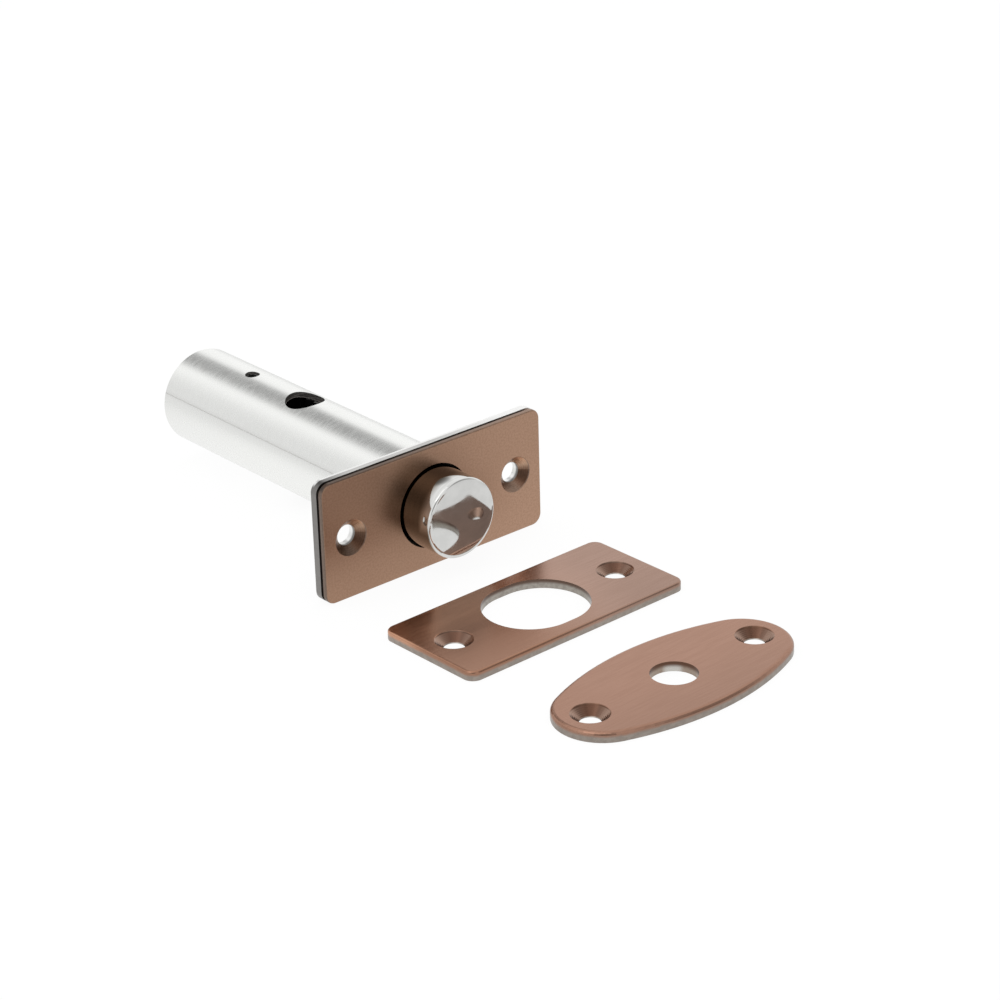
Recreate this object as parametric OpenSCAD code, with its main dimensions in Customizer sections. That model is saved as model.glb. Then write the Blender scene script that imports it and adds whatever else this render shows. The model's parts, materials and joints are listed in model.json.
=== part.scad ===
// Mortice rack bolt with its keep plate and its oval key plate.
// Origin: centre of the forend's front face, on the axis of the bolt.
// +X runs along the forend, +Y runs back along the barrel, +Z is up.
// The bolt throws towards -Y. The two loose plates lie flat, level with the forend's lower edge.

/* [Forend] */
// Length of the forend, along X
forend_w = 54; // [50:0.5:66]
// Height of the forend, along Z
forend_h = 24.8; // [23:0.2:32]
// Radius of the forend's four corners
forend_corner_r = 2.2; // [1:0.1:3]
// Thickness of the steel forend that carries the barrel
forend_t = 1.6; // [1.2:0.1:2.5]
// Thickness of the finish plate in front of it
cover_t = 1.6; // [1.2:0.1:2.5]
// Thickness left at the finish plate's edge, in front of the shadow groove
cover_rim_t = 0.9; // [0.6:0.05:1.1]
// Depth of the shadow groove, inwards from the edge
groove_depth = 0.8; // [0.3:0.1:1.2]
// Rounding of the finish plate's front edge
cover_edge_r = 0.35; // [0.1:0.05:0.5]
// Distance of each screw hole's centre from the forend's end
forend_screw_inset = 6.5; // [5.5:0.1:7.5]

/* [Screw holes] */
// Diameter of the screw holes
screw_hole_d = 4.1; // [3.2:0.1:4.6]
// Diameter of the countersinks at the surface
countersink_d = 7.4; // [6.4:0.1:8.2]
// Straight wall above the countersinks of the two loose plates
countersink_lip = 0.4; // [0:0.1:0.6]

/* [Barrel] */
// Wall of the barrel's tube
barrel_wall = 1.2; // [0.9:0.1:1.8]
// Depth from the forend's front face to the barrel's rear end
barrel_depth = 76; // [75.5:0.5:110]
// Depth of the barrel's seat in the back of the forend
barrel_seat = 0.6; // [0.3:0.1:0.9]
// Chamfer round the barrel's rear end
barrel_chamfer = 0.3; // [0.1:0.1:0.8]
// Width of the rolled tube's closed seam
seam_w = 0.24; // [0.1:0.02:0.4]
// Depth of the seam's groove
seam_depth = 0.15; // [0.05:0.05:0.3]
// Turn of the seam from the keyhole, in degrees
seam_turn = 70.8; // [45:0.2:85]
// Distance of the keyhole from the forend's front face
keyhole_depth = 40.2; // [38.5:0.1:40.9]
// Diameter of the keyhole, through both walls
keyhole_d = 8; // [7:0.1:8.4]
// Distance from the keyhole to the guide pin
guide_pin_back = 17.5; // [16.8:0.1:18.2]
// Diameter of the guide pin
guide_pin_d = 3; // [2.4:0.1:3.6]
// Depth of the guide pin's head below the barrel's surface
guide_pin_recess = 0.5; // [0.2:0.1:0.6]
// Wall of the rolled guide pin
guide_pin_wall = 0.6; // [0.4:0.1:0.8]
// Length of the plug in the barrel's rear end
plug_t = 3; // [2:0.2:3.6]

/* [Bolt] */
// Diameter of the bolt's nose
bolt_d = 16.3; // [15:0.1:16.6]
// Rounding round the bolt's nose
nose_r = 0.5; // [0.3:0.1:2]
// Radius of the nose's shallow domed face
nose_dome_r = 58; // [30:1:200]
// How far the bolt's body stands out round the nose, as a stop
bolt_step = 0.55; // [0.3:0.05:0.8]
// Gap between the stop and the forend at full throw
bolt_stop_gap = 0.3; // [0.1:0.1:1]
// Chamfer at both ends of the bolt's body
bolt_chamfer = 0.3; // [0.1:0.1:0.5]
// Gap between the drawn-back bolt and the plug
bolt_rear_gap = 1; // [0.5:0.1:1.6]
// How far the bolt stands out of the forend at rest
bolt_out = 8.6; // [0:0.1:12]
// Full throw, from flush to locked
bolt_throw = 12; // [10:0.1:12]
// Clearance round the bolt in the barrel and in the forend
bolt_clearance = 0.1; // [0.05:0.05:0.3]
// Gap between the bolt and the finish plate's hole, on each side
cover_hole_gap = 0.45; // [0.3:0.05:1]

/* [Rack] */
// Pitch of the rack's teeth
tooth_pitch = 2.8; // [2.2:0.1:3.4]
// Width of a tooth at its tip
tooth_tip = 0.8; // [0.4:0.1:1]
// Depth of the teeth
tooth_depth = 1.3; // [0.8:0.1:1.5]
// Slope of each tooth flank, in degrees
tooth_flank = 20; // [15:1:24]
// How far the teeth reach into the key's way
key_bite = 1.4; // [1.1:0.1:1.8]
// Clearance round the key at each end of the rack
key_clearance = 0.3; // [0.1:0.1:0.4]

/* [Guide groove and spring] */
// Depth of the groove that the guide pin runs in
pin_groove_depth = 2.6; // [2:0.1:3]
// Clearance of the guide pin in its groove, on each side
pin_clearance = 0.1; // [0.05:0.05:0.2]
// Width of the bow spring
spring_w = 3.6; // [2.6:0.1:4.4]
// Thickness of the bow spring
spring_t = 0.4; // [0.3:0.05:0.6]
// Length of the bow spring, end to end
spring_len = 16; // [12:0.5:17]
// Metal left between the spring's recess and the rack
spring_web = 2.6; // [1.5:0.1:3]
// Depth of the spring's recess in the bolt
spring_recess = 2.2; // [1.6:0.1:2.4]
// Clearance of the spring in its recess
spring_clearance = 0.15; // [0.05:0.05:0.3]

/* [Keep plate] */
// Length of the keep plate
keep_w = 54; // [50:0.5:66]
// Width of the keep plate
keep_h = 25; // [23:0.2:32]
// Thickness of the keep plate
keep_t = 1.9; // [1.6:0.1:3]
// Radius of the keep plate's corners
keep_corner_r = 2.2; // [1:0.1:3]
// Rounding of the keep plate's top edge
keep_edge_r = 0.5; // [0.2:0.1:0.8]
// Gap between the bolt and the keep's oval opening, on each side
keep_gap = 1.3; // [0.5:0.05:1.8]
// How much longer than wide the oval opening is, to let the keep be set
keep_slack = 2.6; // [1:0.1:5]
// Distance of each screw hole's centre from the keep's end
keep_screw_inset = 6.6; // [5.6:0.1:7]
// Gap on the floor between the forend and the keep plate
keep_lie_gap = 16.6; // [14:0.2:30]
// Turn of the keep plate where it lies, in degrees
keep_turn = 1; // [0:0.5:3]

/* [Key plate] */
// Length of the oval key plate
key_plate_w = 54; // [50:0.2:62]
// Width of the oval key plate
key_plate_h = 25.7; // [23:0.1:30]
// Thickness of the key plate
key_plate_t = 2; // [1.6:0.1:3]
// Radius of the key plate's two ends
key_plate_end_r = 9.4; // [7.5:0.1:11]
// Rounding of the key plate's top edge
key_plate_edge_r = 0.8; // [0.2:0.1:0.9]
// How much wider the key plate's hole is than the barrel's, on each side
key_plate_hole_gap = 0.45; // [0.2:0.05:1]
// Distance of each screw hole's centre from the key plate's end
key_plate_screw_inset = 6.2; // [5.4:0.1:7]
// Gap on the floor between the keep plate and the key plate
key_plate_lie_gap = 12.3; // [10:0.1:30]
// How far the key plate lies to the left of the forend's middle
key_plate_left = 0.3; // [0:0.1:3]
// Turn of the key plate where it lies, in degrees
key_plate_turn = 1.5; // [0:0.5:3]

/* [Hidden] */

$fn = 96;
edge_fn = 24;                  // segments of a plate edge's rounding
dome_fn = 720;                 // segments of a whole circle as wide as the nose's dome
side_fn = 180;                 // segments of a circle as wide as the key plate's sides
end_fn = 60;                   // segments of a circle at the key plate's ends
edge_steps = 5;                // steps in the key plate's rounded edge
over = 1;                      // how far a cut runs past a face
press_gap = 0.02;              // gap between two pieces that are pressed together
countersink_land = 0.25;       // straight wall left under a countersink

forend_back = cover_t + forend_t;
bolt_r = bolt_d / 2;
body_r = bolt_r + bolt_step;
bore_r = body_r + bolt_clearance;
barrel_r = bore_r + barrel_wall;
barrel_front = forend_back - barrel_seat;
cover_hole_r = bolt_r + cover_hole_gap;
guide_pin_y = keyhole_depth + guide_pin_back;
bolt_len = barrel_depth - plug_t - bolt_rear_gap;
nose_len = bolt_throw + barrel_front + bolt_stop_gap;
keep_opening_h = bolt_d + 2 * keep_gap;
keep_opening_w = keep_opening_h + keep_slack;
key_plate_hole_d = keyhole_d + 2 * key_plate_hole_gap;

// Where the two loose plates lie
floor_z = -forend_h / 2;
keep_ahead = keep_lie_gap + keep_h / 2;
key_plate_ahead = keep_ahead + keep_h / 2 + key_plate_lie_gap + key_plate_h / 2;

// Distances along the bolt, from its nose
notch_start = keyhole_depth - keyhole_d / 2 - key_clearance;
notch_end = keyhole_depth + bolt_throw + keyhole_d / 2 + key_clearance;
rack_offset = keyhole_d / 2 - key_bite;
rack_root = rack_offset + tooth_depth;
tooth_slope = tooth_depth * tan(tooth_flank);
tooth_count = floor((notch_end - notch_start) / tooth_pitch);
rack_start = (notch_start + notch_end - tooth_count * tooth_pitch) / 2;

pin_groove_floor = body_r - pin_groove_depth;
recess_floor = body_r - spring_recess;
recess_len = spring_len + 4 * spring_clearance;
spring_back = notch_start - spring_web - recess_len / 2;
spring_reach = sqrt(pow(bore_r, 2) - pow(spring_w / 2, 2)) - spring_clearance;

// Straight-sided cylinder along +Y
module along_y(r, from, to) {
    translate([0, to, 0]) rotate([90, 0, 0]) cylinder(r = r, h = to - from);
}

// Plate with round corners and a rounded upper edge, lying on z = 0
module rounded_plate(w, h, t, corner_r, edge_r) {
    corner_x = w / 2 - corner_r;
    corner_y = h / 2 - corner_r;
    rounded_bar(2 * corner_x, h, t, edge_r);
    rotate([0, 0, 90]) rounded_bar(2 * corner_y, w, t, edge_r);
    for (x = [-1, 1], y = [-1, 1]) {
        translate([x * corner_x, y * corner_y, 0]) rounded_disc(corner_r, t, edge_r);
    }
}

// Bar along X whose two upper edges are rounded
module rounded_bar(length, across, t, edge_r) {
    rotate([90, 0, 90]) linear_extrude(length, center = true) {
        half_profile(across / 2, t, edge_r);
        mirror([1, 0]) half_profile(across / 2, t, edge_r);
    }
}

// Disc whose upper edge is rounded
module rounded_disc(r, t, edge_r) {
    rotate_extrude() half_profile(r, t, edge_r);
}

// Right half of a section that is rounded at its upper corner
module half_profile(half_w, t, edge_r) {
    square([half_w, t - edge_r]);
    square([half_w - edge_r, t]);
    translate([half_w - edge_r, t - edge_r]) circle(edge_r, $fn = edge_fn);
}

// Countersunk screw hole down through a plate whose top is at z = t, the cone starting lip below it
module countersunk_hole(t, lip = 0) {
    cone_h = min((countersink_d - screw_hole_d) / 2, t - lip - countersink_land);
    cylinder(d = screw_hole_d, h = 2 * (t + over), center = true);
    translate([0, 0, t - lip - cone_h])
        cylinder(d1 = screw_hole_d, d2 = countersink_d, h = cone_h);
    translate([0, 0, t - lip]) cylinder(d = countersink_d, h = lip + over);
}

// The same thing at both ends of a plate
module at_both_ends(reach) {
    for (side = [-1, 1]) translate([side * reach, 0, 0]) children();
}

// Stands a plate that lies on z = 0 up, so that its top faces -Y at y = front
module stood_up(front, t) {
    translate([0, front + t, 0]) rotate([90, 0, 0]) children();
}

module cover_plate() {
    color("rosybrown") stood_up(0, cover_t) difference() {
        rounded_plate(forend_w, forend_h, cover_t, forend_corner_r, cover_edge_r);
        shadow_groove();
        cylinder(r = cover_hole_r, h = 2 * (cover_t + over), center = true);
        translate([0, 0, -forend_t]) forend_screw_holes();
    }
}

// Rebate round the back of the finish plate, which shows as a dark line
module shadow_groove() {
    difference() {
        translate([0, 0, -over]) linear_extrude(over + cover_t - cover_rim_t)
            square([forend_w + 2 * over, forend_h + 2 * over], center = true);
        translate([0, 0, -2 * over]) linear_extrude(cover_t + 4 * over)
            rounded_outline(forend_w - 2 * groove_depth, forend_h - 2 * groove_depth,
                            forend_corner_r - min(groove_depth, forend_corner_r - 0.2));
    }
}

// Rectangle with round corners
module rounded_outline(w, h, r) {
    square([w - 2 * r, h], center = true);
    square([w, h - 2 * r], center = true);
    for (x = [-1, 1], y = [-1, 1]) translate([x * (w / 2 - r), y * (h / 2 - r)]) circle(r);
}

module forend() {
    color("silver") stood_up(cover_t, forend_t) difference() {
        linear_extrude(forend_t) rounded_outline(forend_w, forend_h, forend_corner_r);
        cylinder(r = bolt_r + bolt_clearance, h = 2 * (forend_t + over), center = true);
        translate([0, 0, -over]) cylinder(r = barrel_r + press_gap, h = over + barrel_seat);
        forend_screw_holes();
    }
}

// The two screw holes, countersunk through the finish plate and the forend together
module forend_screw_holes() {
    at_both_ends(forend_w / 2 - forend_screw_inset) countersunk_hole(forend_back);
}

// Rolled tube whose front end is pressed into the back of the forend
module barrel() {
    color("gainsboro") difference() {
        rotate([-90, 0, 0]) rotate_extrude() barrel_profile();
        along_y(bore_r, barrel_front - over, barrel_depth + over);
        translate([0, keyhole_depth, 0]) cylinder(d = keyhole_d, h = 3 * barrel_r, center = true);
        translate([0, guide_pin_y, 0]) cylinder(d = guide_pin_d + 2 * press_gap, h = 2 * barrel_r);
        barrel_seam();
    }
}

// Half section of the barrel's outside, front end at the bottom
module barrel_profile() {
    polygon([[0, barrel_front], [barrel_r, barrel_front], [barrel_r, barrel_depth - barrel_chamfer],
             [barrel_r - barrel_chamfer, barrel_depth], [0, barrel_depth]]);
}

// Groove along the barrel where the edges of the rolled sheet meet
module barrel_seam() {
    rotate([0, -seam_turn, 0]) translate([0, 0, barrel_r]) rotate([-90, 0, 0])
        linear_extrude(barrel_depth + over)
            polygon([[0, seam_depth], [seam_w, -seam_depth], [-seam_w, -seam_depth]]);
}

// Rolled spring pin, split along its rear side, that keeps the bolt from turning
module guide_pin() {
    pin_top = barrel_r - guide_pin_recess;
    pin_foot = pin_groove_floor + 2 * pin_clearance;
    slit = guide_pin_d / 6;
    color("dimgray") translate([0, guide_pin_y, pin_foot]) difference() {
        cylinder(d = guide_pin_d, h = pin_top - pin_foot);
        translate([0, 0, -over])
            cylinder(d = guide_pin_d - 2 * guide_pin_wall, h = pin_top - pin_foot + 2 * over);
        translate([-slit / 2, 0, -over]) cube([slit, guide_pin_d, pin_top - pin_foot + 2 * over]);
    }
}

// Disc pressed into the barrel's rear end
module end_plug() {
    plug_r = bore_r - press_gap;
    chamfer = plug_t / 8;
    color("lightgray") translate([0, barrel_depth, 0]) rotate([90, 0, 0]) rotate_extrude()
        polygon([[0, 0], [plug_r - chamfer, 0], [plug_r, chamfer], [plug_r, plug_t], [0, plug_t]]);
}

// Outline of everything the mill takes off the bolt to leave the rack, seen from above
function rack_cut() = concat(
    [[-2 * body_r, notch_start], [rack_root, notch_start]],
    [for (i = [0 : tooth_count - 1]) each rack_tooth(rack_start + (i + 0.5) * tooth_pitch)],
    [[rack_root, notch_end], [-2 * body_r, notch_end]]);

// The four corners of one tooth whose middle is at y
function rack_tooth(y) = [
    [rack_root, y - tooth_tip / 2 - tooth_slope],
    [rack_offset, y - tooth_tip / 2],
    [rack_offset, y + tooth_tip / 2],
    [rack_root, y + tooth_tip / 2 + tooth_slope]];

module bolt() {
    groove_w = guide_pin_d + 2 * pin_clearance;
    recess_w = spring_w + 2 * spring_clearance;
    color("whitesmoke") translate([0, -bolt_out, 0]) difference() {
        rotate([-90, 0, 0]) rotate_extrude() bolt_profile();
        linear_extrude(3 * body_r, center = true) polygon(rack_cut());
        translate([-groove_w / 2, notch_end - over, pin_groove_floor])
            cube([groove_w, bolt_len, body_r]);
        translate([-recess_w / 2, spring_back - recess_len / 2, -body_r - recess_floor])
            cube([recess_w, recess_len, body_r]);
    }
}

// Half section of the bolt, nose at the bottom: a dome that runs into a rounded rim, then the stop
module bolt_profile() {
    rim_x = bolt_r - nose_r;
    rim_y = nose_dome_r - sqrt(pow(nose_dome_r - nose_r, 2) - pow(rim_x, 2));
    blend_x = rim_x * nose_dome_r / (nose_dome_r - nose_r);
    intersection() {
        translate([0, nose_dome_r]) circle(nose_dome_r, $fn = dome_fn);
        square([blend_x, nose_len]);
    }
    translate([rim_x, rim_y]) circle(nose_r);
    translate([0, rim_y]) square([bolt_r, nose_len - rim_y]);
    polygon([[0, nose_len], [body_r - bolt_chamfer, nose_len], [body_r, nose_len + bolt_chamfer],
             [body_r, bolt_len - bolt_chamfer], [body_r - bolt_chamfer, bolt_len], [0, bolt_len]]);
}

// Bow spring that lies in the bolt and drags on the barrel's bore
module bow_spring() {
    rise = spring_reach - spring_t - recess_floor;
    bow_r = (pow(spring_len / 2, 2) + pow(rise, 2)) / (2 * rise);
    color("slategray") translate([0, spring_back - bolt_out, bow_r + spring_t - spring_reach])
        rotate([90, 0, 90]) linear_extrude(spring_w, center = true) intersection() {
            difference() {
                circle(bow_r + spring_t);
                circle(bow_r);
            }
            translate([-spring_len / 2, -bow_r - over]) square([spring_len, rise + over]);
        }
}

// Places a loose plate in front of the forend, turned as it lies
module laid_down(ahead, turn, left = 0) {
    translate([-left, -ahead, floor_z]) rotate([0, 0, turn]) children();
}

module keep_plate() {
    color("rosybrown") laid_down(keep_ahead, keep_turn) difference() {
        rounded_plate(keep_w, keep_h, keep_t, keep_corner_r, keep_edge_r);
        translate([0, 0, -over]) linear_extrude(keep_t + 2 * over) keep_opening();
        at_both_ends(keep_w / 2 - keep_screw_inset) countersunk_hole(keep_t, countersink_lip);
    }
}

// Oval opening that the bolt enters, with room to adjust along the plate
module keep_opening() {
    straight = keep_opening_w - keep_opening_h;
    square([straight, keep_opening_h], center = true);
    at_both_ends(straight / 2) circle(d = keep_opening_h);
}

// Oval drawn from four arcs, one along each side and one round each end, shrunk by inset
module key_plate_oval(inset) {
    half_w = key_plate_w / 2;
    half_h = key_plate_h / 2;
    end_x = half_w - key_plate_end_r;
    side_r = (pow(half_w, 2) + pow(half_h, 2) - 2 * half_w * key_plate_end_r)
             / (2 * (half_h - key_plate_end_r));
    side_y = side_r - half_h;
    blend_x = end_x * side_r / (side_r - key_plate_end_r);
    intersection() {
        translate([0, side_y]) circle(side_r - inset, $fn = side_fn);
        translate([0, -side_y]) circle(side_r - inset, $fn = side_fn);
        square([2 * blend_x, key_plate_h], center = true);
    }
    at_both_ends(end_x) circle(key_plate_end_r - inset, $fn = end_fn);
}

// Key plate without its holes; its upper edge is rounded in steps
module key_plate_blank() {
    hull() for (i = [0 : edge_steps]) {
        angle = 90 * i / edge_steps;
        linear_extrude(key_plate_t - key_plate_edge_r * (1 - sin(angle)))
            key_plate_oval(key_plate_edge_r * (1 - cos(angle)));
    }
}

module key_plate() {
    color("rosybrown") laid_down(key_plate_ahead, key_plate_turn, key_plate_left) difference() {
        key_plate_blank();
        cylinder(d = key_plate_hole_d, h = 2 * (key_plate_t + over), center = true);
        at_both_ends(key_plate_w / 2 - key_plate_screw_inset)
            countersunk_hole(key_plate_t, countersink_lip);
    }
}

cover_plate();
forend();
barrel();
guide_pin();
end_plug();
bolt();
bow_spring();
keep_plate();
key_plate();
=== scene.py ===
import bpy
import json
import math
from mathutils import Matrix, Vector


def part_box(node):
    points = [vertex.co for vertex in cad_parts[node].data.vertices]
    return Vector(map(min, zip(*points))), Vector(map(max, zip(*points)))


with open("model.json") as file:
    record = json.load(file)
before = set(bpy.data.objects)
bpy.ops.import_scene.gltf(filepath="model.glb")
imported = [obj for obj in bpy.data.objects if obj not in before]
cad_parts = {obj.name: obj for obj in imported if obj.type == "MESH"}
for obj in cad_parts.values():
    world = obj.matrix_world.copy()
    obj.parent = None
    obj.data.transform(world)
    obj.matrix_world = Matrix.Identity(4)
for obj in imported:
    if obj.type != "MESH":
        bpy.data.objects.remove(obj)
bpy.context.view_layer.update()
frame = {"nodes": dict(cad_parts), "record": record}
nodes = frame["nodes"]
mounts = {m["name"]: m for m in frame["record"]["mounts"]}
millimetre = 0.001
print("frame loaded:", len(nodes), "nodes")


# Camera, as the photograph was taken: place in metres, angles in degrees
photoCamera = {
    "place": (-0.33811, -0.42074, 0.25263),
    "azimuth": -40.116,
    "elevation": 25.021,
    "roll": -1.612,
    "lens": 111.565,
    "sensor": 36.0,
    "clipStart": 0.01,
}


def makeCamera(look):
    data = bpy.data.cameras.new("photoCamera")
    data.lens = look["lens"]
    data.sensor_width = look["sensor"]
    data.clip_start = look["clipStart"]
    camera = bpy.data.objects.new("photoCamera", data)
    azimuth = math.radians(look["azimuth"])
    elevation = math.radians(look["elevation"])
    forward = Vector((
        -math.sin(azimuth) * math.cos(elevation),
        math.cos(azimuth) * math.cos(elevation),
        -math.sin(elevation),
    ))
    turn = forward.to_track_quat("-Z", "Y").to_matrix().to_4x4()
    roll = Matrix.Rotation(math.radians(look["roll"]), 4, "Z")
    camera.matrix_world = Matrix.Translation(look["place"]) @ turn @ roll
    bpy.context.scene.collection.objects.link(camera)
    bpy.context.scene.camera = camera


makeCamera(photoCamera)
print("camera placed")


# Parts of a noise's range over which a colour or a roughness changes
narrowSpan = (0.35, 0.65)
wideSpan = (0.3, 0.7)


# Small helpers that wire a shader: a value may be a number, a colour or another node's socket
def addNode(tree, kind, inputs=None, **settings):
    made = tree.nodes.new(kind)
    for name, value in settings.items():
        setattr(made, name, value)
    for name, value in (inputs or {}).items():
        if isinstance(value, bpy.types.NodeSocket):
            tree.links.new(value, made.inputs[name])
        else:
            made.inputs[name].default_value = value
    return made


def calc(tree, operation, first, second=0.0, third=0.0):
    made = addNode(tree, "ShaderNodeMath", {0: first, 1: second, 2: third}, operation=operation)
    return made.outputs[0]


def ramp(tree, value, start, end, low=0.0, high=1.0):
    made = addNode(tree, "ShaderNodeMapRange",
                   {0: value, 1: start, 2: end, 3: low, 4: high},
                   interpolation_type="SMOOTHSTEP")
    return made.outputs[0]


def blendColor(tree, share, first, second, how="MIX"):
    made = addNode(tree, "ShaderNodeMix", data_type="RGBA", blend_type=how)
    for slot, value in ((0, share), (6, first), (7, second)):
        if isinstance(value, bpy.types.NodeSocket):
            tree.links.new(value, made.inputs[slot])
        else:
            made.inputs[slot].default_value = value
    return made.outputs[2]


def rgb(red, green, blue):
    return (red, green, blue, 1.0)


white = rgb(1.0, 1.0, 1.0)


# Grain: noise in the piece's own coordinates, stretched by the scale along each axis, in features a metre
def grain(tree, place, scale, detail=3.0, turn=0.0):
    laid = addNode(tree, "ShaderNodeMapping", {"Vector": place, "Scale": scale})
    if turn:
        turned = addNode(tree, "ShaderNodeMapping",
                         {"Vector": place, "Rotation": (0.0, 0.0, -math.radians(turn))})
        tree.links.new(turned.outputs[0], laid.inputs["Vector"])
    noise = addNode(tree, "ShaderNodeTexNoise",
                    {"Vector": laid.outputs[0], "Scale": 1.0, "Detail": detail})
    return noise.outputs[0]


def startMaterial(name):
    material = bpy.data.materials.new(name)
    material.use_nodes = True
    tree = material.node_tree
    tree.nodes.clear()
    place = addNode(tree, "ShaderNodeTexCoord").outputs["Object"]
    return material, tree, place


def finishMetal(tree, color, roughness, bumps, normal=None):
    shader = addNode(tree, "ShaderNodeBsdfPrincipled",
                     {"Base Color": color, "Roughness": roughness, "Metallic": 1.0})
    for height, depth in bumps:
        bump = addNode(tree, "ShaderNodeBump", {"Height": height, "Strength": 1.0,
                                                "Distance": depth})
        if normal is not None:
            tree.links.new(normal, bump.inputs["Normal"])
        normal = bump.outputs[0]
    if normal is not None:
        tree.links.new(normal, shader.inputs["Normal"])
    output = addNode(tree, "ShaderNodeOutputMaterial")
    tree.links.new(shader.outputs[0], output.inputs["Surface"])


def dress(nodeName, material):
    piece = nodes[nodeName]
    if not piece.material_slots:
        piece.data.materials.append(material)
    for slot in piece.material_slots:
        slot.material = material


# How far a point lies from the nearer of a plate's two screw holes, in metres
def screwDistance(tree, place, centre, reach, turn, flat="Z"):
    moved = addNode(tree, "ShaderNodeVectorMath", {0: place, 1: centre}, operation="SUBTRACT")
    turned = addNode(tree, "ShaderNodeVectorRotate",
                     {"Vector": moved.outputs[0], "Angle": -math.radians(turn)},
                     rotation_type="Z_AXIS")
    parts = addNode(tree, "ShaderNodeSeparateXYZ", {0: turned.outputs[0]})
    along = calc(tree, "SUBTRACT", calc(tree, "ABSOLUTE", parts.outputs[0]), reach)
    across = parts.outputs[1] if flat == "Z" else parts.outputs[2]
    square = calc(tree, "ADD", calc(tree, "POWER", along, 2.0), calc(tree, "POWER", across, 2.0))
    return calc(tree, "SQRT", square)


# Fine rings left by the countersink's cutter, at full depth inside this share of its radius
ringFull = 0.95


def cutterRings(tree, distance, pitch, outside):
    wave = calc(tree, "SINE", calc(tree, "MULTIPLY", distance, 2 * math.pi / pitch))
    inside = ramp(tree, distance, outside, outside * ringFull)
    return calc(tree, "MULTIPLY", wave, inside)


# The three parts of a position or a normal
def split(tree, vector):
    return addNode(tree, "ShaderNodeSeparateXYZ", {0: vector}).outputs


# How squarely a surface faces a direction: 1 straight at it, 0 side on
def facesTo(tree, direction):
    towards = Vector(direction).normalized()
    facing = addNode(tree, "ShaderNodeNewGeometry").outputs["Normal"]
    made = addNode(tree, "ShaderNodeVectorMath", {0: facing, 1: towards}, operation="DOT_PRODUCT")
    return made.outputs["Value"]


# Distance between a point and an axis that both lie in one plane
def planeDistance(tree, first, second):
    square = calc(tree, "ADD", calc(tree, "POWER", first, 2.0), calc(tree, "POWER", second, 2.0))
    return calc(tree, "SQRT", square)


# Loose plates: brushed along their length, raw steel showing on the sheared edges
copperPlate = {
    "copper": rgb(0.50, 0.315, 0.243),
    "copperDark": rgb(0.455, 0.28, 0.212),
    # Painted shade towards the front edge
    "paintedFrontShade": rgb(0.24, 0.145, 0.105),
    "roughness": (0.225, 0.265),
    "brushScale": (110.0, 2600.0, 2600.0),
    "brushDetail": 4.0,
    "brushDepth": 0.0000008,
    "cloudScale": (90.0, 90.0, 90.0),
    "cloudDetail": 2.0,
    "cloudSpan": (0.4, 0.7),
    "cloudShare": 0.25,
    # Painted shade towards the left and right ends, and painted light along the back edge
    "leftShadeTint": rgb(0.92, 0.77, 0.65),
    "leftSpan": (0.012, -0.012),
    "rightShadeTint": rgb(0.86, 0.86, 0.86),
    "rightSpan": (0.006, 0.02),
    "backLightTint": rgb(1.45, 1.50, 1.50),
    "backReach": (0.013, 0.0065),      # measured from the plate's back edge
    "backSpan": (0.008, -0.004),       # and from right to left
    "frontShade": 0.22,                # how much the painted shade dulls the front edge against the middle
    "frontStart": 0.005,               # behind the plate's middle
    # Countersinks: painted shade at the back and front of each cone and painted light on its sides, by
    # the way each part faces; the sharp lip mirrors like a rounded one, with painted shade at its back
    "countersinkRadius": 0.0037,
    "countersinkBlend": 0.0002,
    "coneSpan": (0.00008, 0.00025),    # depth below the top at which the cone's colour starts and is full
    "coneSideLight": rgb(0.40, 0.265, 0.205),
    "coneBackShade": rgb(0.120, 0.058, 0.038),
    "coneFrontShade": rgb(0.14, 0.085, 0.062),
    "coneFaces": (-0.64, -0.77, 0.0),  # level direction that the back of a cone faces
    "coneBackSpan": (0.15, 0.68),
    "coneFrontSpan": (-0.1, -0.5),
    "lipLean": 1.1,
    "lipSpan": (0.4, 1.0),
    "lipShare": 0.7,
    "ringPitch": 0.00028,
    "ringDepth": 0.000005,
    "ringShade": 0.12,
    # Sheared edges: raw steel below the plating, with a ragged border
    "edgeSpan": (0.6, 0.25),           # upward part of the normal of a flat face and of an edge
    "rawSteel": rgb(0.385, 0.335, 0.295),
    "rawSteelDark": rgb(0.325, 0.28, 0.245),
    "shearScale": (900.0, 900.0, 900.0),
    "coverDepth": 0.0005,              # how far the plating reaches down the edge
    "coverFade": 0.0007,
    "ragged": 0.6,
    # Wall of the punched opening
    "openingBlend": 0.0004,
    "punched": rgb(0.40, 0.37, 0.33),
    "punchedDark": rgb(0.31, 0.28, 0.25),
    # Dark copper for the cutter's rings and the drawn-in edge, and painted shade on the lip and at the
    # opening's top
    "darkCopperAndShade": rgb(0.13, 0.085, 0.065),
    "punchedTopDepth": 0.0011,
    "punchedTopFull": 0.3,             # share of that depth above which it is darkest
    "tornScale": (1500.0, 1500.0, 1500.0),
    "tornSpan": (0.3, 0.75),
    # Painted highlight where the opening's wall faces the front left
    "glint": rgb(0.70, 0.68, 0.64),
    "glintSpan": (0.88, 0.99),
    "glintShare": 0.0,
}


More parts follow.
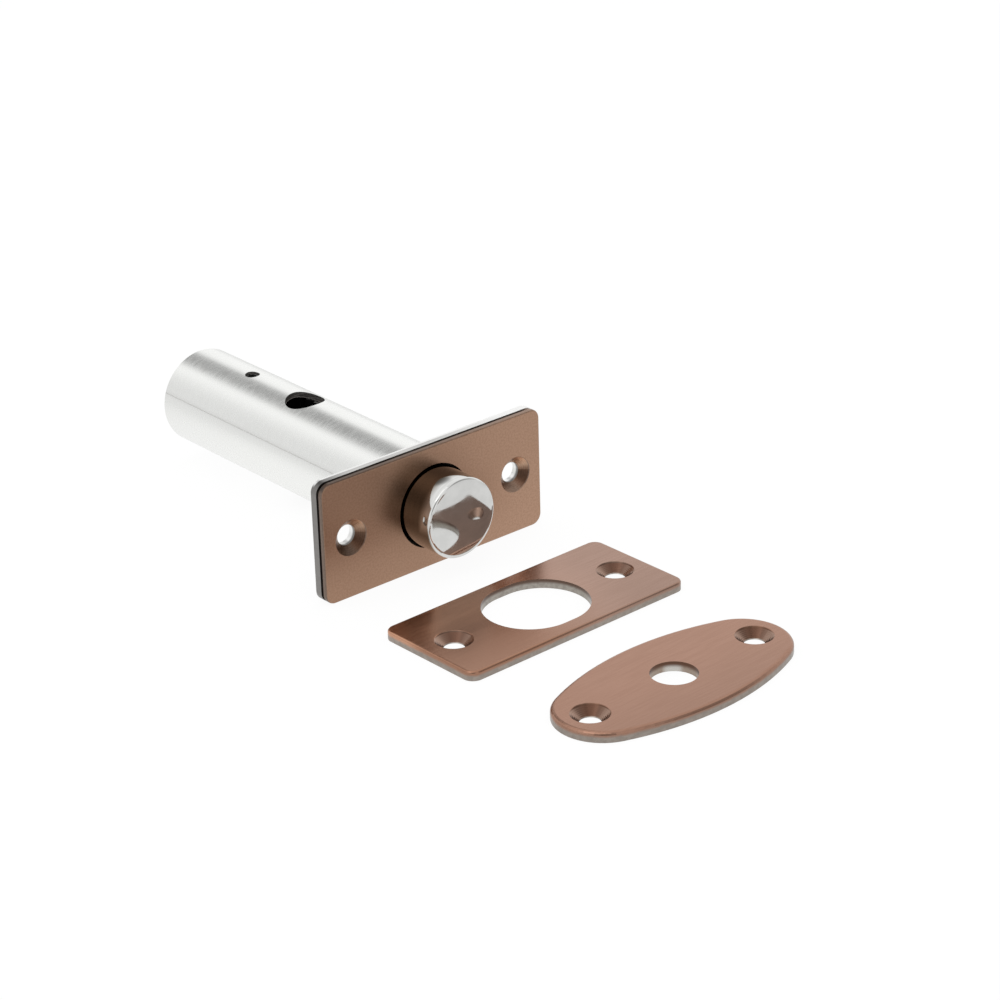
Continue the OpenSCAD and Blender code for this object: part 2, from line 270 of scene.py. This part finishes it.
def makeCopperPlate(name, nodeName, mount, turn, holeRadius, look):
    material, tree, place = startMaterial(name)
    low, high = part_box(nodeName)
    centre = (mount["pos_m"][0], mount["pos_m"][1], 0.0)
    spot = split(tree, place)
    height = spot[2]
    facing = addNode(tree, "ShaderNodeNewGeometry").outputs["Normal"]
    upward = calc(tree, "ABSOLUTE", split(tree, facing)[2])
    side = ramp(tree, upward, *look["edgeSpan"])

    brush = grain(tree, place, look["brushScale"], look["brushDetail"], turn)
    cloud = grain(tree, place, look["cloudScale"], look["cloudDetail"])
    copper = blendColor(tree, ramp(tree, brush, *narrowSpan), look["copperDark"], look["copper"])
    cloud = ramp(tree, cloud, *look["cloudSpan"], 0.0, look["cloudShare"])
    copper = blendColor(tree, cloud, copper, look["copperDark"])
    # Painted shade towards the left and right ends, painted light along the back edge
    toLeft = ramp(tree, spot[0], *look["leftSpan"])
    copper = blendColor(tree, toLeft, copper, look["leftShadeTint"], "MULTIPLY")
    toRight = ramp(tree, spot[0], *look["rightSpan"])
    copper = blendColor(tree, toRight, copper, look["rightShadeTint"], "MULTIPLY")
    back = ramp(tree, spot[1], high.y - look["backReach"][0], high.y - look["backReach"][1])
    back = calc(tree, "MULTIPLY", back, ramp(tree, spot[0], *look["backSpan"]))
    copper = blendColor(tree, back, copper, look["backLightTint"], "MULTIPLY")
    # Painted shade towards the front edge
    front = ramp(tree, spot[1], (low.y + high.y) / 2 + look["frontStart"], low.y,
                 0.0, look["frontShade"])
    copper = blendColor(tree, front, copper, look["paintedFrontShade"])

    reach = mount["dims"]["pcd_mm"] / 2 * millimetre
    distance = screwDistance(tree, place, centre, reach, turn)
    radius = look["countersinkRadius"]
    rings = cutterRings(tree, distance, look["ringPitch"], radius)
    lines = ramp(tree, rings, -1.0, 1.0, 0.0, look["ringShade"])
    copper = blendColor(tree, lines, copper, look["darkCopperAndShade"])
    # Painted light and shade on the cones and the lip, by the way they face
    towardsFront = facesTo(tree, look["coneFaces"])
    cone = blendColor(tree, ramp(tree, towardsFront, *look["coneBackSpan"]),
                      look["coneSideLight"], look["coneBackShade"])
    cone = blendColor(tree, ramp(tree, towardsFront, *look["coneFrontSpan"]), cone, look["coneFrontShade"])
    cone = blendColor(tree, lines, cone, look["darkCopperAndShade"])
    nearScrew = ramp(tree, distance, radius + look["countersinkBlend"], radius)
    start, full = look["coneSpan"]
    sunk = ramp(tree, height, high.z - start, high.z - full)
    copper = blendColor(tree, calc(tree, "MULTIPLY", nearScrew, sunk), copper, cone)
    lip = calc(tree, "MULTIPLY", nearScrew, side)
    lipShade = ramp(tree, towardsFront, *look["lipSpan"], 0.0, look["lipShare"])
    copper = blendColor(tree, calc(tree, "MULTIPLY", lip, lipShade), copper, look["darkCopperAndShade"])
    lean = addNode(tree, "ShaderNodeCombineXYZ", {2: calc(tree, "MULTIPLY", lip, look["lipLean"])})
    rounded = addNode(tree, "ShaderNodeVectorMath", {0: facing, 1: lean.outputs[0]}, operation="ADD")
    rounded = addNode(tree, "ShaderNodeVectorMath", {0: rounded.outputs[0]}, operation="NORMALIZE")

    shear = grain(tree, place, look["shearScale"])
    raw = blendColor(tree, ramp(tree, shear, *narrowSpan), look["rawSteelDark"], look["rawSteel"])
    edge = high.z - look["coverDepth"]
    ragged = calc(tree, "MULTIPLY", calc(tree, "SUBTRACT", shear, 0.5),
                  look["coverFade"] * look["ragged"])
    below = ramp(tree, calc(tree, "ADD", height, ragged), edge, edge - look["coverFade"])
    color = blendColor(tree, calc(tree, "MULTIPLY", below, side), copper, raw)

    # The punched opening: dark copper where the punch drew the surface in, darkened further as painted
    # shade, grey torn steel below
    fromCentre = planeDistance(tree, calc(tree, "SUBTRACT", spot[0], centre[0]),
                               calc(tree, "SUBTRACT", spot[1], centre[1]))
    opening = ramp(tree, fromCentre, holeRadius + look["openingBlend"], holeRadius)
    torn = grain(tree, place, look["tornScale"])
    wall = blendColor(tree, ramp(tree, torn, *look["tornSpan"]), look["punched"], look["punchedDark"])
    glint = ramp(tree, towardsFront, *look["glintSpan"], 0.0, look["glintShare"])
    wall = blendColor(tree, glint, wall, look["glint"])
    drawn = look["punchedTopDepth"]
    drawn = ramp(tree, height, high.z - drawn, high.z - drawn * look["punchedTopFull"])
    wall = blendColor(tree, drawn, wall, look["darkCopperAndShade"])
    color = blendColor(tree, calc(tree, "MULTIPLY", side, opening), color, wall)

    roughness = ramp(tree, brush, *wideSpan, *look["roughness"])
    finishMetal(tree, color, roughness,
                [(brush, look["brushDepth"]), (rings, look["ringDepth"])], rounded.outputs[0])
    return material


# Turn of each plate where it lies, in degrees, and the radius that its opening's wall lies within
keepTurn = 1.0
keyPlateTurn = 1.5
keepHoleRadius = 0.0115
keyPlateHoleRadius = 0.0048
dress("keep_plate", makeCopperPlate("brushedCopperKeep", "keep_plate", mounts["keep_screws"],
                                    keepTurn, keepHoleRadius, copperPlate))

# The key plate is browner and more even, with no painted light or shade towards its ends or back; its
# punched wall is warmer, with a painted highlight where it faces the front left
keyPlateCopper = dict(
    copperPlate,
    copper=rgb(0.442, 0.249, 0.177),
    copperDark=rgb(0.405, 0.222, 0.155),
    leftShadeTint=white,
    rightShadeTint=white,
    backLightTint=white,
    punched=rgb(0.43, 0.35, 0.29),
    punchedDark=rgb(0.36, 0.28, 0.22),
    darkCopperAndShade=rgb(0.14, 0.075, 0.05),
    punchedTopDepth=0.0014,
    glintShare=0.9,
)
dress("key_plate", makeCopperPlate("brushedCopperKey", "key_plate", mounts["key_plate_screws"],
                                   keyPlateTurn, keyPlateHoleRadius, keyPlateCopper))
print("loose plates dressed")


# Finish plate of the forend: matt copper with a fine speckle, and painted shade in the groove behind its
# rim
finishPlate = {
    "copper": rgb(0.425, 0.26, 0.178),
    "copperDark": rgb(0.36, 0.215, 0.142),
    "rightLightTint": rgb(1.20, 1.22, 1.24),    # painted light, growing towards the right end
    "roughness": (0.32, 0.40),
    "speckleScale": (2600.0, 2600.0, 2600.0),
    "speckleSpan": (0.35, 0.62),
    "speckleDepth": 0.000005,
    "cloudScale": (120.0, 120.0, 120.0),
    "cloudDetail": 2.0,
    "cloudSpan": (0.4, 0.75),
    "cloudShare": 0.2,
    # Painted light and shade on the cut cones: brighter where they face down and left, and darkest facing
    # left and up
    "countersinkRadius": 0.0037,
    "countersinkBlend": 0.0001,
    "coneSpan": (0.00005, 0.0002),     # depth at which the cone's colour starts and is full
    "litTowards": (-0.70, 0.0, -0.70),
    "litSpan": (0.35, 0.65),
    "litTint": rgb(1.95, 1.80, 1.60),
    "dimTowards": (-0.88, 0.0, 0.48),
    "dimSpan": (0.40, 0.70),
    "dimTint": rgb(0.46, 0.36, 0.31),
    "ringPitch": 0.00028,
    "ringDepth": 0.000008,
    "ringShade": 0.12,
    # Painted shade on the rounded rim: duller on top, most of all at the left end, and grey on the left
    # side
    "topRimSpan": (0.3, 0.8),          # part of the normal that faces up
    "topRimShadeLeft": rgb(0.30, 0.34, 0.38),
    "topRimShadeRight": rgb(0.72, 0.80, 0.88),
    "leftRimSpan": (-0.3, -0.8),
    "leftRimShade": rgb(0.52, 0.64, 0.76),
    # Painted shade in the groove behind the rim, lighter at the plate's two ends
    "groove": rgb(0.11, 0.088, 0.072),
    "grooveEnd": rgb(0.50, 0.46, 0.43),
    "grooveReach": 0.0009,
    "grooveBlend": 0.00018,
    "rim": 0.0009,                     # depth at which the groove starts
    "rimBlend": 0.00003,
    # Painted shade: the bolt's hole is nearly black from a little behind the front face
    "inHole": rgb(0.03, 0.022, 0.018),
    "holeRadius": 0.0087,
    "holeBlend": 0.00004,
    "holeSpan": (0.0007, 0.0010),
}


def makeFinishPlate(look):
    material, tree, place = startMaterial("mattCopper")
    low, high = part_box("cover_plate")
    spot = split(tree, place)
    fleck = grain(tree, place, look["speckleScale"])
    cloud = grain(tree, place, look["cloudScale"], look["cloudDetail"])
    copper = blendColor(tree, ramp(tree, fleck, *look["speckleSpan"]),
                        look["copperDark"], look["copper"])
    cloud = ramp(tree, cloud, *look["cloudSpan"], 0.0, look["cloudShare"])
    copper = blendColor(tree, cloud, copper, look["copperDark"])
    # Painted light growing towards the right end
    toRight = ramp(tree, spot[0], low.x, high.x)
    copper = blendColor(tree, toRight, copper, look["rightLightTint"], "MULTIPLY")

    screws = mounts["forend_screws"]["dims"]["spacing_x_mm"] / 2 * millimetre
    distance = screwDistance(tree, place, (0.0, 0.0, 0.0), screws, 0.0, "Y")
    radius = look["countersinkRadius"]
    rings = cutterRings(tree, distance, look["ringPitch"], radius)
    lines = ramp(tree, rings, -1.0, 1.0, 0.0, look["ringShade"])
    copper = blendColor(tree, lines, copper, look["inHole"])
    inCone = calc(tree, "MULTIPLY",
                  ramp(tree, distance, radius + look["countersinkBlend"], radius),
                  ramp(tree, spot[1], *look["coneSpan"]))
    lit = ramp(tree, facesTo(tree, look["litTowards"]), *look["litSpan"])
    cone = blendColor(tree, lit, copper, look["litTint"], "MULTIPLY")
    dim = ramp(tree, facesTo(tree, look["dimTowards"]), *look["dimSpan"])
    cone = blendColor(tree, dim, cone, look["dimTint"], "MULTIPLY")
    copper = blendColor(tree, inCone, copper, cone)

    # Painted shade on the rounded rim, by the way it faces
    facing = split(tree, addNode(tree, "ShaderNodeNewGeometry").outputs["Normal"])
    topRim = blendColor(tree, toRight, look["topRimShadeLeft"], look["topRimShadeRight"])
    onTop = ramp(tree, facing[2], *look["topRimSpan"])
    copper = blendColor(tree, onTop, copper, topRim, "MULTIPLY")
    onLeft = ramp(tree, facing[0], *look["leftRimSpan"])
    copper = blendColor(tree, onLeft, copper, look["leftRimShade"], "MULTIPLY")

    # Painted shade in the groove round the back and inside the bolt's hole
    reach, blend = look["grooveReach"], look["grooveBlend"]
    nearEnd = ramp(tree, calc(tree, "ABSOLUTE", spot[0]), high.x - reach - blend, high.x - reach)
    nearEdge = ramp(tree, calc(tree, "ABSOLUTE", spot[2]), high.z - reach - blend, high.z - reach)
    behind = ramp(tree, spot[1], look["rim"] - look["rimBlend"], look["rim"] + look["rimBlend"])
    groove = calc(tree, "MULTIPLY", behind, calc(tree, "MAXIMUM", nearEnd, nearEdge))
    shade = blendColor(tree, nearEnd, look["groove"], look["grooveEnd"])
    color = blendColor(tree, groove, copper, shade)
    inHole = ramp(tree, planeDistance(tree, spot[0], spot[2]),
                  look["holeRadius"], look["holeRadius"] - look["holeBlend"])
    inHole = calc(tree, "MULTIPLY", inHole, ramp(tree, spot[1], *look["holeSpan"]))
    color = blendColor(tree, inHole, color, look["inHole"])
    roughness = ramp(tree, fleck, *wideSpan, *look["roughness"])
    finishMetal(tree, color, roughness,
                [(fleck, look["speckleDepth"]), (rings, look["ringDepth"])])
    return material


dress("cover_plate", makeFinishPlate(finishPlate))
print("finish plate dressed")


# Barrel and its plug: bright drawn steel, dark grey where it is cut through, with painted shade and a
# painted highlight at the cuts
drawnSteel = {
    "bright": rgb(0.925, 0.93, 0.91),
    "dull": rgb(0.905, 0.91, 0.89),
    "roughness": (0.22, 0.28),
    "fleckScale": (500.0, 1700.0, 500.0),
    "fleckDepth": 0.00000016,
    "smearScale": (220.0, 60.0, 220.0),
    "smearDetail": 2.0,
    "smearSpan": (0.45, 0.8),
    "smearShare": 0.4,
    "outside": 0.01,
    "wall": 0.0012,
    # Soft dark line along the seam: its turn from the top in degrees, and half its width
    "seamTurn": 70.8,
    "seamHalf": 0.0009,
    "seamShade": rgb(0.86, 0.86, 0.845),
    # Cut walls of the keyhole and the pin's hole, between the tube's two ends: rough drilled steel,
    # darkened further by painted shade
    "cutDepth": (0.00016, 0.00022),
    "cutFrom": (0.004, 0.0041),
    "cutTo": (0.0756, 0.0755),
    "cutWall": rgb(0.36, 0.34, 0.32),
    "cutWallDark": rgb(0.17, 0.16, 0.15),
    "cutRoughness": 0.55,
    "toolScale": (400.0, 400.0, 3500.0),
    "toolSpan": (0.4, 0.65),
    # Painted highlight along the cut wall's edge just outside the bore, and painted shade on the bore
    # itself
    "innerEdgeGlint": rgb(0.75, 0.70, 0.66),
    "burrSpan": (0.00022, 0.0001),
    "bore": rgb(0.012, 0.012, 0.012),
    "boreSpan": (0.00006, 0.00002),
}


def makeDrawnSteel(look):
    material, tree, place = startMaterial("drawnSteel")
    spot = split(tree, place)
    fleck = grain(tree, place, look["fleckScale"])
    smear = grain(tree, place, look["smearScale"], look["smearDetail"])
    color = blendColor(tree, ramp(tree, fleck, *wideSpan), look["dull"], look["bright"])
    smear = ramp(tree, smear, *look["smearSpan"], 0.0, look["smearShare"])
    color = blendColor(tree, smear, color, look["dull"])

    angle = math.radians(look["seamTurn"])
    toSeam = planeDistance(
        tree, calc(tree, "ADD", spot[0], look["outside"] * math.sin(angle)),
        calc(tree, "SUBTRACT", spot[2], look["outside"] * math.cos(angle)))
    color = blendColor(tree, ramp(tree, toSeam, look["seamHalf"], 0.0), color, look["seamShade"])

    radius = planeDistance(tree, spot[0], spot[2])
    inside = look["outside"] - look["wall"]
    tool = grain(tree, place, look["toolScale"])
    cut = blendColor(tree, ramp(tree, tool, *look["toolSpan"]), look["cutWallDark"], look["cutWall"])
    # Painted highlight at the bore's edge, and painted shade on the bore
    innerEdgeGlint = ramp(tree, radius, *(inside + part for part in look["burrSpan"]))
    cut = blendColor(tree, innerEdgeGlint, cut, look["innerEdgeGlint"])
    bore = ramp(tree, radius, *(inside + part for part in look["boreSpan"]))
    cut = blendColor(tree, bore, cut, look["bore"])
    below = ramp(tree, radius, *(look["outside"] - part for part in look["cutDepth"]))
    middle = calc(tree, "MULTIPLY", ramp(tree, spot[1], *look["cutFrom"]),
                  ramp(tree, spot[1], *look["cutTo"]))
    hidden = calc(tree, "MULTIPLY", below, middle)
    color = blendColor(tree, hidden, color, cut)
    roughness = ramp(tree, fleck, *wideSpan, *look["roughness"])
    drawn = calc(tree, "MULTIPLY", roughness, calc(tree, "SUBTRACT", 1.0, hidden))
    torn = calc(tree, "MULTIPLY", hidden, look["cutRoughness"])
    finishMetal(tree, color, calc(tree, "ADD", drawn, torn), [(fleck, look["fleckDepth"])])
    return material


steel = makeDrawnSteel(drawnSteel)
dress("barrel", steel)
dress("end_plug", steel)
print("barrel dressed")


# Steel forend behind the finish plate: plain rolled sheet
sheetSteel = {
    "bright": rgb(0.66, 0.655, 0.64),
    "dull": rgb(0.54, 0.53, 0.515),
    "roughness": (0.30, 0.42),
    "rollScale": (150.0, 1200.0, 1500.0),
    "rollDetail": 4.0,
    "rollDepth": 0.000006,
    # Painted shade on the long sides towards the left end, and painted light towards the right one
    "dullLeft": rgb(0.10, 0.095, 0.09),
    "dullSpan": (-0.018, -0.0275),
    "paintedLight": rgb(0.95, 0.95, 0.94),
    "brightSpan": (0.0, 0.022),
    # Sheared ends are dull, and a painted highlight runs along the rear corner of the top
    "shearedEnd": rgb(0.25, 0.24, 0.23),
    "facingSpan": (0.5, 0.9),          # part of the normal that faces an end or up
    "rearSpan": (0.0026, 0.0028),
    # Painted light on the screw holes' walls at the back, and painted shade in the bolt's hole
    "screwHoleLight": rgb(0.92, 0.92, 0.91),
    "screwHoleRadius": 0.0022,
    "screwHoleBlend": 0.0001,
    "screwHoleSpan": (0.0019, 0.0024),
    "boltHoleShade": rgb(0.02, 0.018, 0.016),
    "boltHoleRadius": 0.0095,
    "boltHoleBlend": 0.0003,
}


def makeSheetSteel(look):
    material, tree, place = startMaterial("sheetSteel")
    spot = split(tree, place)
    roll = grain(tree, place, look["rollScale"], look["rollDetail"])
    color = blendColor(tree, ramp(tree, roll, *wideSpan), look["dull"], look["bright"])
    # Painted light towards the right end and painted shade towards the left end
    toRight = ramp(tree, spot[0], *look["brightSpan"])
    color = blendColor(tree, toRight, color, look["paintedLight"])
    toLeft = ramp(tree, spot[0], *look["dullSpan"])
    color = blendColor(tree, toLeft, color, look["dullLeft"])

    facing = split(tree, addNode(tree, "ShaderNodeNewGeometry").outputs["Normal"])
    endFace = ramp(tree, calc(tree, "ABSOLUTE", facing[0]), *look["facingSpan"])
    color = blendColor(tree, endFace, color, look["shearedEnd"])
    # Painted highlight along the rear corner of the top
    rear = calc(tree, "MULTIPLY", ramp(tree, spot[1], *look["rearSpan"]),
                ramp(tree, facing[2], *look["facingSpan"]))
    color = blendColor(tree, rear, color, look["paintedLight"])

    screws = mounts["forend_screws"]["dims"]["spacing_x_mm"] / 2 * millimetre
    distance = screwDistance(tree, place, (0.0, 0.0, 0.0), screws, 0.0, "Y")
    # Painted light on the screw holes' back walls, painted shade in the bolt's hole
    inScrewHole = ramp(tree, distance, look["screwHoleRadius"],
                       look["screwHoleRadius"] - look["screwHoleBlend"])
    wall = blendColor(tree, ramp(tree, spot[1], *look["screwHoleSpan"]),
                      look["shearedEnd"], look["screwHoleLight"])
    color = blendColor(tree, inScrewHole, color, wall)
    inBoltHole = ramp(tree, planeDistance(tree, spot[0], spot[2]), look["boltHoleRadius"],
                      look["boltHoleRadius"] - look["boltHoleBlend"])
    color = blendColor(tree, inBoltHole, color, look["boltHoleShade"])
    roughness = ramp(tree, roll, *wideSpan, *look["roughness"])
    finishMetal(tree, color, roughness, [(roll, look["rollDepth"])])
    return material


dress("forend", makeSheetSteel(sheetSteel))
print("forend dressed")


# Bolt: polished nickel plate on the nose; the body behind it is dull oiled steel, black in the rack
polishedPlate = {
    "bright": rgb(0.75, 0.75, 0.735),
    "dull": rgb(0.69, 0.69, 0.675),
    "roughness": (0.03, 0.07),
    "hairScale": (300.0, 2500.0, 300.0),
    "waveScale": (150.0, 150.0, 150.0),
    "waveDetail": 1.0,
    "waveDepth": 0.0000015,
    "body": rgb(0.34, 0.335, 0.33),
    "bodyDark": rgb(0.22, 0.215, 0.21),
    "bodyRoughness": 0.42,
    "bodySpan": (0.0058, 0.0059),
    "bodyRadius": 0.0087,
    "rack": rgb(0.035, 0.035, 0.035),
    "rackDepth": (0.00008, 0.0002),
    # The polished face mirrors as a flatter, slightly tilted dome: tilt, slope and its change at the rim
    "faceRadius": 0.0076,
    "faceBlend": 0.0003,
    "faceSpan": (0.0, -0.001),
    "faceTilt": (-0.0248, 0.0386),
    "faceSlope": (9.9, 5.1),
    "faceRimSlope": (13.0, -7.2),
    # The side leans towards the face near it, on the upper half only
    "noseRadius": 0.00815,
    "rollLean": 0.20,
    "rollAlong": (-0.0045, -0.0078),
    "rollDepth": (0.00008, 0.00002),
    "rollSpan": (-0.002, 0.0015),
    # Painted shade on the side: darker where it doesn't lean, and least so at the bottom
    "sideSpan": (-0.0068, -0.0045),
    "sideDepth": (0.00012, 0.00004),
    "sideShade": rgb(0.28, 0.24, 0.20),
    "sideDarkLow": rgb(0.78, 0.74, 0.70),
    "lowSpan": (-0.001, -0.006),
}


# Direction of the face's mirror at a point, running into the true surface at the rounded rim
def faceNormal(tree, spot, radius, look):
    share = calc(tree, "POWER", calc(tree, "DIVIDE", radius, look["noseRadius"]), 2.0)
    leans = []
    for axis, place in ((0, spot[0]), (1, spot[2])):
        slope = calc(tree, "MULTIPLY_ADD", share, look["faceRimSlope"][axis], look["faceSlope"][axis])
        leans.append(calc(tree, "MULTIPLY_ADD", slope, place, look["faceTilt"][axis]))
    mirror = addNode(tree, "ShaderNodeCombineXYZ", {0: leans[0], 1: -1.0, 2: leans[1]})
    mirror = addNode(tree, "ShaderNodeVectorMath", {0: mirror.outputs[0]}, operation="NORMALIZE")
    onFace = calc(tree, "MULTIPLY",
                  ramp(tree, radius, look["faceRadius"], look["faceRadius"] - look["faceBlend"]),
                  ramp(tree, spot[1], *look["faceSpan"]))

    true = addNode(tree, "ShaderNodeNewGeometry").outputs["Normal"]
    onSide = ramp(tree, radius, *(look["noseRadius"] - part for part in look["rollDepth"]))
    lean = ramp(tree, spot[1], *look["rollAlong"], 0.0, -look["rollLean"])
    lean = calc(tree, "MULTIPLY", lean, onSide)
    lean = calc(tree, "MULTIPLY", lean, ramp(tree, spot[2], *look["rollSpan"]))
    rolled = addNode(tree, "ShaderNodeCombineXYZ", {1: lean})
    side = addNode(tree, "ShaderNodeVectorMath", {0: true, 1: rolled.outputs[0]}, operation="ADD")
    side = addNode(tree, "ShaderNodeVectorMath", {0: side.outputs[0]}, operation="NORMALIZE")
    made = addNode(tree, "ShaderNodeMix", data_type="VECTOR")
    for slot, value in ((0, onFace), (4, side.outputs[0]), (5, mirror.outputs[0])):
        tree.links.new(value, made.inputs[slot])
    return made.outputs[1]


def makePolishedPlate(look):
    material, tree, place = startMaterial("polishedPlate")
    spot = split(tree, place)
    radius = planeDistance(tree, spot[0], spot[2])
    hair = grain(tree, place, look["hairScale"])
    wave = grain(tree, place, look["waveScale"], look["waveDetail"])
    color = blendColor(tree, ramp(tree, hair, *narrowSpan), look["dull"], look["bright"])
    # Painted shade on the nose's side
    dull = calc(tree, "MAXIMUM", ramp(tree, spot[1], *look["sideSpan"]),
                ramp(tree, spot[2], *reversed(look["rollSpan"])))
    onSide = ramp(tree, radius, *(look["noseRadius"] - part for part in look["sideDepth"]))
    dull = calc(tree, "MULTIPLY", dull, onSide)
    sideShade = blendColor(tree, ramp(tree, spot[2], *look["lowSpan"]),
                          look["sideShade"], look["sideDarkLow"])
    color = blendColor(tree, dull, color, sideShade, "MULTIPLY")

    body = blendColor(tree, ramp(tree, hair, *narrowSpan), look["bodyDark"], look["body"])
    below = ramp(tree, radius, *(look["bodyRadius"] - part for part in look["rackDepth"]))
    body = blendColor(tree, below, body, look["rack"])
    behind = ramp(tree, spot[1], *look["bodySpan"])
    color = blendColor(tree, behind, color, body)
    roughness = ramp(tree, hair, *wideSpan, *look["roughness"])
    roughness = calc(tree, "ADD", calc(tree, "MULTIPLY", behind, look["bodyRoughness"]), roughness)
    finishMetal(tree, color, roughness, [(wave, look["waveDepth"])],
                faceNormal(tree, spot, radius, look))
    return material


dress("bolt", makePolishedPlate(polishedPlate))
print("bolt dressed")


# Guide pin and bow spring: oiled spring steel
springSteel = {
    "bright": rgb(0.14, 0.14, 0.14),
    "dull": rgb(0.06, 0.06, 0.06),
    "roughness": (0.28, 0.45),
    "grainScale": (1800.0, 1800.0, 900.0),
    "grainDepth": 0.000006,
}


def makeSpringSteel(look):
    material, tree, place = startMaterial("springSteel")
    scale = grain(tree, place, look["grainScale"])
    color = blendColor(tree, ramp(tree, scale, *narrowSpan), look["dull"], look["bright"])
    roughness = ramp(tree, scale, *wideSpan, *look["roughness"])
    finishMetal(tree, color, roughness, [(scale, look["grainDepth"])])
    return material


spring = makeSpringSteel(springSteel)
dress("guide_pin", spring)
dress("bow_spring", spring)
print("pin and spring dressed")


# Floor: plain white; seen directly or in metal it is the white of the backdrop, with a faint shadow
stageLook = {
    "size": 6.0,
    "drop": 0.00002,
    "floorColor": rgb(0.9, 0.9, 0.9),
    "shadowShare": 0.10,
    "seenLevel": 1.03,
    # In metal it is a little darker far from this place, in metres
    "dullCentre": (0.0, 0.04, -0.0124),
    "dullSpan": (0.012, 0.12),
    "dullLeft": 0.80,
}


def makeFloor(look):
    half = look["size"] / 2
    level = min(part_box(name)[0].z for name in nodes) - look["drop"]
    mesh = bpy.data.meshes.new("floor")
    corners = [(-half, -half, level), (half, -half, level), (half, half, level), (-half, half, level)]
    mesh.from_pydata(corners, [], [(0, 1, 2, 3)])
    floor = bpy.data.objects.new("floor", mesh)
    bpy.context.scene.collection.objects.link(floor)
    material, tree, place = startMaterial("paleFloor")
    plain = addNode(tree, "ShaderNodeBsdfDiffuse", {"Color": look["floorColor"]})
    path = addNode(tree, "ShaderNodeLightPath")
    away = addNode(tree, "ShaderNodeVectorMath", {0: place, 1: look["dullCentre"]},
                   operation="DISTANCE").outputs["Value"]
    mirrored = ramp(tree, away, *look["dullSpan"], 1.0, look["dullLeft"])
    strength = calc(tree, "MAXIMUM", mirrored,
                    calc(tree, "MULTIPLY", path.outputs["Is Camera Ray"], look["seenLevel"]))
    glow = addNode(tree, "ShaderNodeEmission", {"Color": white, "Strength": strength})
    seen = calc(tree, "MAXIMUM", path.outputs["Is Camera Ray"],
                calc(tree, "MAXIMUM", path.outputs["Is Glossy Ray"],
                     path.outputs["Is Transmission Ray"]))
    share = calc(tree, "MULTIPLY", seen, 1.0 - look["shadowShare"])
    mixed = addNode(tree, "ShaderNodeMixShader", {0: share, 1: plain.outputs[0], 2: glow.outputs[0]})
    output = addNode(tree, "ShaderNodeOutputMaterial")
    tree.links.new(mixed.outputs[0], output.inputs["Surface"])
    mesh.materials.append(material)


makeFloor(stageLook)
print("floor laid")


# Studio: a white tent with a darker gap behind, a duller left wall and duller patches in front and above
studio = {
    "tent": 1.0,
    "patches": [
        # direction, angle where it is full, angle where it has gone, how much light is left
        {"towards": (0.20, 0.74, 0.64), "inner": 4.0, "outer": 21.0, "left": 0.34},      # behind
        {"towards": (-0.66, 0.74, 0.08), "inner": 8.0, "outer": 42.0, "left": 0.78},     # left wall
        {"towards": (0.58, -0.69, 0.43), "inner": 14.0, "outer": 36.0, "left": 0.42},    # front right
        {"towards": (-0.58, -0.70, 0.42), "inner": 8.0, "outer": 30.0, "left": 0.30},    # front left
        {"towards": (-0.26, -0.32, 0.90), "inner": 6.0, "outer": 26.0, "left": 0.40},    # above
    ],
    "lampSize": 0.9,
    "lampPlace": (-0.45, -0.25, 1.1),
    "lampPower": 2.0,
}


def makeStudio(look):
    world = bpy.data.worlds.new("studio")
    world.use_nodes = True
    tree = world.node_tree
    tree.nodes.clear()
    direction = addNode(tree, "ShaderNodeTexCoord").outputs["Generated"]
    light = look["tent"]
    for patch in look["patches"]:
        towards = Vector(patch["towards"]).normalized()
        near = addNode(tree, "ShaderNodeVectorMath", {0: direction, 1: towards},
                       operation="DOT_PRODUCT").outputs["Value"]
        left = ramp(tree, near, math.cos(math.radians(patch["outer"])),
                    math.cos(math.radians(patch["inner"])), 1.0, patch["left"])
        light = calc(tree, "MULTIPLY", light, left)
    path = addNode(tree, "ShaderNodeLightPath")
    strength = calc(tree, "MAXIMUM", light, path.outputs["Is Camera Ray"])
    background = addNode(tree, "ShaderNodeBackground",
                         {"Color": white, "Strength": strength})
    output = addNode(tree, "ShaderNodeOutputWorld")
    tree.links.new(background.outputs[0], output.inputs["Surface"])
    bpy.context.scene.world = world

    lamp = bpy.data.lights.new("softbox", "AREA")
    lamp.size = look["lampSize"]
    lamp.energy = look["lampPower"]
    holder = bpy.data.objects.new("softbox", lamp)
    holder.location = look["lampPlace"]
    holder.rotation_euler = (-Vector(look["lampPlace"])).to_track_quat("-Z", "Y").to_euler()
    bpy.context.scene.collection.objects.link(holder)


makeStudio(studio)
bpy.context.scene.view_settings.view_transform = "Standard"
print("studio lit")
